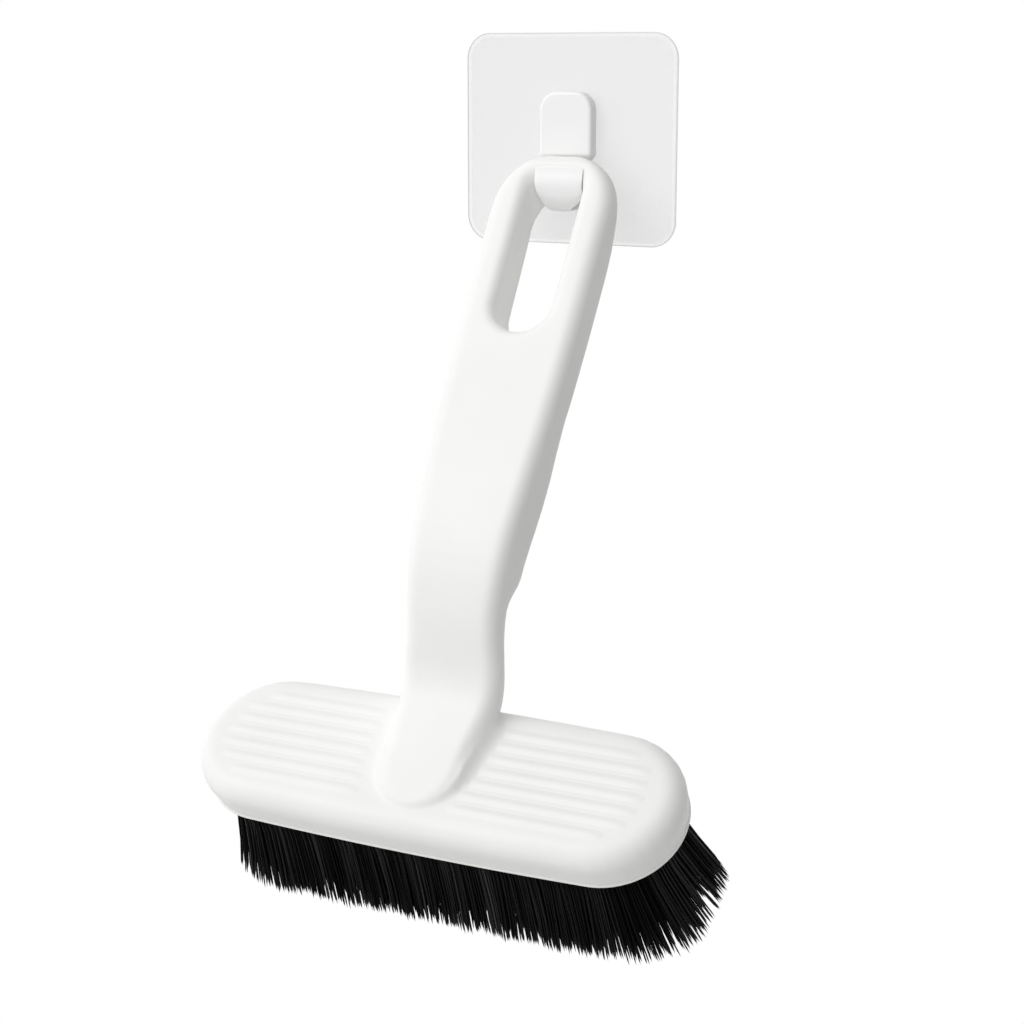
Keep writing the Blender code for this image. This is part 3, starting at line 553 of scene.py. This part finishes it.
# Painted highlight: slanting bands of greyer strands, with their pitch, slant and share of a strand's
# tone.
HIGHLIGHT_BAND_PITCH = 0.0105
HIGHLIGHT_BAND_SLANT = 0.35
HIGHLIGHT_BAND_SHARE = 0.4
TIP_WANDER = 0.00035
TIP_RAGGED = 0.0019
SIDE_LEAN = 0.0068
END_LEAN = 0.0078
END_LEAN_SPEED = 1.6
BACK_LEAN = 0.25
END_FAN = 0.15
TIP_LEFT = 0.0650
TIP_RIGHT = 0.0726
TIP_PAST = 0.3
BOW = 1.4
NYLON_BLACK = "030303"
# Painted highlight: the grey given to lit strands, and the tone from which it starts.
NYLON_PAINTED_HIGHLIGHT = "323232"
PAINTED_HIGHLIGHT_FROM = 0.64

# Share of a filament's length, and how thick it is there.
STAGES = ((0.0, 1.0), (0.34, 1.0), (0.68, 0.97), (0.94, 0.85))

random.seed(41)
head_straight = HEAD_LENGTH / 2 - HEAD_WIDTH / 2


def bristle_tip(u, v):
    """Where a bristle that stands at this place on the head's own axes ends, seen from below."""
    over = math.copysign(max(abs(u) - head_straight, 0.0), u)
    lean = SIDE_LEAN + (END_LEAN - SIDE_LEAN) * min(abs(over) * END_LEAN_SPEED / FIELD_RADIUS, 1.0)
    tip = u + lean * over / FIELD_RADIUS + END_LEAN * END_FAN * (u / head_straight) ** 3
    reach = TIP_LEFT if tip < 0.0 else TIP_RIGHT
    past = abs(tip) - reach
    if past > 0.0:
        tip = math.copysign(reach + TIP_PAST * past, tip)
    return Vector((tip, v + lean * (v if v > 0.0 else v * BACK_LEAN) / FIELD_RADIUS))


tufts = {}
filament_places = []
columns = int(FIELD_RIGHT / FILAMENT_SPACING) + 1
rows = int(FIELD_RADIUS / FILAMENT_SPACING) + 1
for column in range(-columns, columns + 1):
    for row in range(-rows, rows + 1):
        u = (column + random.uniform(-PLACE_WANDER, PLACE_WANDER)) * FILAMENT_SPACING
        v = (row + random.uniform(-PLACE_WANDER, PLACE_WANDER)) * FILAMENT_SPACING
        v = math.copysign(min(abs(v) / FIELD_RADIUS, 1.0) ** FIELD_CROWD * FIELD_RADIUS, v)
        over = max(abs(u) - head_straight, 0.0)
        if not -FIELD_LEFT < u < FIELD_RIGHT or math.hypot(over, v) > FIELD_RADIUS:
            continue
        tuft_row = round(v / TUFT_ACROSS)
        tuft_column = round(u / TUFT_ALONG + 0.5 * (tuft_row % 2))
        if (tuft_column, tuft_row) not in tufts:
            tufts[tuft_column, tuft_row] = (
                random.gauss(0, TUFT_WANDER), random.gauss(0, TUFT_WANDER), random.random())
        lean_u, lean_v, shorter = tufts[tuft_column, tuft_row]
        tuft_u = (tuft_column - 0.5 * (tuft_row % 2)) * TUFT_ALONG
        tip = bristle_tip(u, v)
        tip += (bristle_tip(tuft_u, tuft_row * TUFT_ACROSS) - tip) * TUFT_PINCH
        tip += Vector((lean_u + random.gauss(0, TIP_WANDER), lean_v + random.gauss(0, TIP_WANDER)))
        length = FILAMENT_LENGTH - shorter * TUFT_RAGGED - random.random() ** 2 * TIP_RAGGED
        # Each strand's painted highlight comes partly at random and partly from a slanting band of lit
        # strands.
        painted_band = 0.5 + 0.5 * math.sin(2 * math.pi * (u + HIGHLIGHT_BAND_SLANT * v) / HIGHLIGHT_BAND_PITCH)
        painted_highlight = (1 - HIGHLIGHT_BAND_SHARE) * random.random() + HIGHLIGHT_BAND_SHARE * painted_band
        filament_places.append((Vector((u, v)), tip, length, painted_highlight))

vertices = []
faces = []
painted_highlights = []
for at, tip, length, painted_highlight in filament_places:
    first = len(vertices)
    turn = random.uniform(0, 2 * math.pi)
    for share, scale in STAGES:
        middle = at + (tip - at) * share ** BOW
        height = BASE_BOTTOM + FILAMENT_SUNK - (length + FILAMENT_SUNK) * share
        for k in range(FILAMENT_SIDES):
            angle = turn + 2 * math.pi * k / FILAMENT_SIDES
            x = middle.x + FILAMENT_RADIUS * scale * math.cos(angle)
            y = middle.y + FILAMENT_RADIUS * scale * math.sin(angle)
            vertices.append((x, -y, height))
    vertices.append((tip.x, -tip.y, BASE_BOTTOM - length))
    for ring in range(len(STAGES) - 1):
        low = first + ring * FILAMENT_SIDES
        high = low + FILAMENT_SIDES
        for k in range(FILAMENT_SIDES):
            after = (k + 1) % FILAMENT_SIDES
            faces.append((low + k, low + after, high + after, high + k))
    last = first + (len(STAGES) - 1) * FILAMENT_SIDES
    for k in range(FILAMENT_SIDES):
        faces.append((last + k, last + (k + 1) % FILAMENT_SIDES, last + FILAMENT_SIDES))
    faces.append((first + 2, first + 1, first))
    painted_highlights += [painted_highlight] * (len(STAGES) * FILAMENT_SIDES + 1)
mesh = bpy.data.meshes.new("bristles")
mesh.from_pydata(vertices, [], faces)
# Each strand carries its painted highlight as a point attribute, which the material reads.
painted_highlight_of_strand = mesh.attributes.new("strand_painted_highlight", "FLOAT", "POINT")
painted_highlight_of_strand.data.foreach_set("value", painted_highlights)
bristles = bpy.data.objects.new("bristles", mesh)
bpy.context.scene.collection.objects.link(bristles)
work_on(bristles)
bpy.ops.object.mode_set(mode="EDIT")
bpy.ops.mesh.select_all(action="SELECT")
bpy.ops.mesh.normals_make_consistent(inside=False)
bpy.ops.object.mode_set(mode="OBJECT")
place_on_head(bristles)

# Black nylon filament: drawn and slightly glossy. Painted highlight: one strand in a few, and slanting
# bands of strands, are greyer than the rest, for the light that they catch.
black_nylon, tree, shader = new_material(
    "black_nylon_filament", {"IOR": 1.53, "Specular IOR Level": 0.07})
strand = add_node(tree, "ShaderNodeAttribute", {"attribute_name": "strand_painted_highlight"})
painted_highlight = add_node(tree, "ShaderNodeValToRGB", Fac=strand.outputs["Fac"])
painted_highlight.color_ramp.elements[0].position = PAINTED_HIGHLIGHT_FROM
painted_highlight.color_ramp.elements[0].color = linear(NYLON_BLACK)
painted_highlight.color_ramp.elements[1].position = 1.0
painted_highlight.color_ramp.elements[1].color = linear(NYLON_PAINTED_HIGHLIGHT)
tree.links.new(painted_highlight.outputs["Color"], shader.inputs["Base Color"])
polish = add_node(tree, "ShaderNodeMapRange", {"To Min": 0.55, "To Max": 0.38},
                  Value=strand.outputs["Fac"])
tree.links.new(polish.outputs["Result"], shader.inputs["Roughness"])
blocks = sorted(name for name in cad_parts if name.startswith("bristle_block"))
finish_piece(bristles, black_nylon, "brush", "black_nylon", *blocks)
finish_piece(base, black_pp_and_shade, "brush", "black_nylon")
work_on(base)
bpy.ops.object.shade_smooth_by_angle(angle=math.radians(35))


# Stage: a plain pale floor well below the hanging brush, soft studio light from all round that is
# strongest from the upper left, and the photograph's camera.

FLOOR_HEIGHT = -0.42
FLOOR_SIZE = 3.0
FLOOR_COLOUR = "D6D6D6"
FLOOR_SHARE = 0.97
FLOOR_GLOW = 1.014
KEY_POWER = 6.2
KEY_SIZE = 1.1
KEY_PLACE = Vector((-0.75, -0.75, 0.95))
KEY_AIM = Vector((0.0, -0.05, -0.09))
SKY_FROM_LEFT = 0.80
SKY_FROM_FRONT = 0.87
SKY_FROM_BEHIND = 0.42
SKY_FROM_ABOVE = 0.29
SKY_FROM_RIGHT = 0.05
CAMERA_PLACE = (0.2452, -0.5187, 0.0222)
CAMERA_AZIMUTH = 0.471
CAMERA_DOWN = 0.223
CAMERA_LENS = 70.31
CAMERA_SENSOR = 36.0


def add_seen(tree):
    """1 for the rays that see the background: straight from the camera, in a gloss or through film."""
    path = add_node(tree, "ShaderNodeLightPath")
    gloss = add_node(tree, "ShaderNodeMath", {"operation": "MAXIMUM"})
    tree.links.new(path.outputs["Is Camera Ray"], gloss.inputs[0])
    tree.links.new(path.outputs["Is Glossy Ray"], gloss.inputs[1])
    seen = add_node(tree, "ShaderNodeMath", {"operation": "MAXIMUM"})
    tree.links.new(gloss.outputs[0], seen.inputs[0])
    tree.links.new(path.outputs["Is Transmission Ray"], seen.inputs[1])
    return seen.outputs[0]


deselect()
bpy.ops.mesh.primitive_plane_add(size=FLOOR_SIZE, location=(0.0, 0.0, FLOOR_HEIGHT))
floor = bpy.context.object
floor.name = "studio_floor"
settle(floor)
floor_finish, tree, shader = new_material("pale_studio_floor", {"Roughness": 0.8})
shader.inputs["Base Color"].default_value = linear(FLOOR_COLOUR)
glow = add_node(tree, "ShaderNodeEmission", {"Color": linear("FFFFFF"), "Strength": FLOOR_GLOW})
share = add_node(tree, "ShaderNodeMath", {"operation": "MULTIPLY"})
tree.links.new(add_seen(tree), share.inputs[0])
share.inputs[1].default_value = FLOOR_SHARE
mix = add_node(tree, "ShaderNodeMixShader")
tree.links.new(share.outputs[0], mix.inputs[0])
tree.links.new(shader.outputs[0], mix.inputs[1])
tree.links.new(glow.outputs[0], mix.inputs[2])
tree.links.new(mix.outputs[0], tree.nodes["Material Output"].inputs["Surface"])
floor.data.materials.append(floor_finish)

key_data = bpy.data.lights.new("key_softbox", "AREA")
key_data.shape = "SQUARE"
key_data.size = KEY_SIZE
key_data.energy = KEY_POWER
key = bpy.data.objects.new("key_softbox", key_data)
bpy.context.scene.collection.objects.link(key)
key.location = KEY_PLACE
key.rotation_euler = (KEY_PLACE - KEY_AIM).to_track_quat("Z", "Y").to_euler()

# The sky's light is the sum of one soft lobe for each of five directions.
world = bpy.data.worlds.new("studio")
bpy.context.scene.world = world
world.use_nodes = True
tree = world.node_tree
tree.nodes.clear()
way = add_node(tree, "ShaderNodeTexCoord").outputs["Generated"]
parts = add_node(tree, "ShaderNodeSeparateXYZ", Vector=way)
level = None
for axis, facing, amount in (("X", -1.0, SKY_FROM_LEFT), ("Y", -1.0, SKY_FROM_FRONT),
                             ("Y", 1.0, SKY_FROM_BEHIND), ("Z", 1.0, SKY_FROM_ABOVE),
                             ("X", 1.0, SKY_FROM_RIGHT)):
    turned = add_node(tree, "ShaderNodeMath", {"operation": "MULTIPLY"})
    tree.links.new(parts.outputs[axis], turned.inputs[0])
    turned.inputs[1].default_value = facing * amount
    lit = add_node(tree, "ShaderNodeMath", {"operation": "MAXIMUM"})
    tree.links.new(turned.outputs[0], lit.inputs[0])
    lit.inputs[1].default_value = 0.0
    if level is None:
        level = lit.outputs[0]
    else:
        total = add_node(tree, "ShaderNodeMath", {"operation": "ADD"})
        tree.links.new(level, total.inputs[0])
        tree.links.new(lit.outputs[0], total.inputs[1])
        level = total.outputs[0]
ambient = add_node(tree, "ShaderNodeBackground", {"Color": linear("FFFFFF")}, Strength=level)
white = add_node(tree, "ShaderNodeBackground", {"Strength": 1.0, "Color": linear("FFFFFF")})
mix = add_node(tree, "ShaderNodeMixShader")
tree.links.new(add_seen(tree), mix.inputs[0])
tree.links.new(ambient.outputs[0], mix.inputs[1])
tree.links.new(white.outputs[0], mix.inputs[2])
output = add_node(tree, "ShaderNodeOutputWorld")
tree.links.new(mix.outputs[0], output.inputs["Surface"])

bpy.context.scene.view_settings.view_transform = "Standard"

camera_data = bpy.data.cameras.new("photo_camera")
camera_data.lens = CAMERA_LENS
camera_data.sensor_width = CAMERA_SENSOR
camera = bpy.data.objects.new("photo_camera", camera_data)
bpy.context.scene.collection.objects.link(camera)
camera.location = CAMERA_PLACE
camera.rotation_euler = (math.pi / 2 - CAMERA_DOWN, 0.0, CAMERA_AZIMUTH)
bpy.context.scene.camera = camera
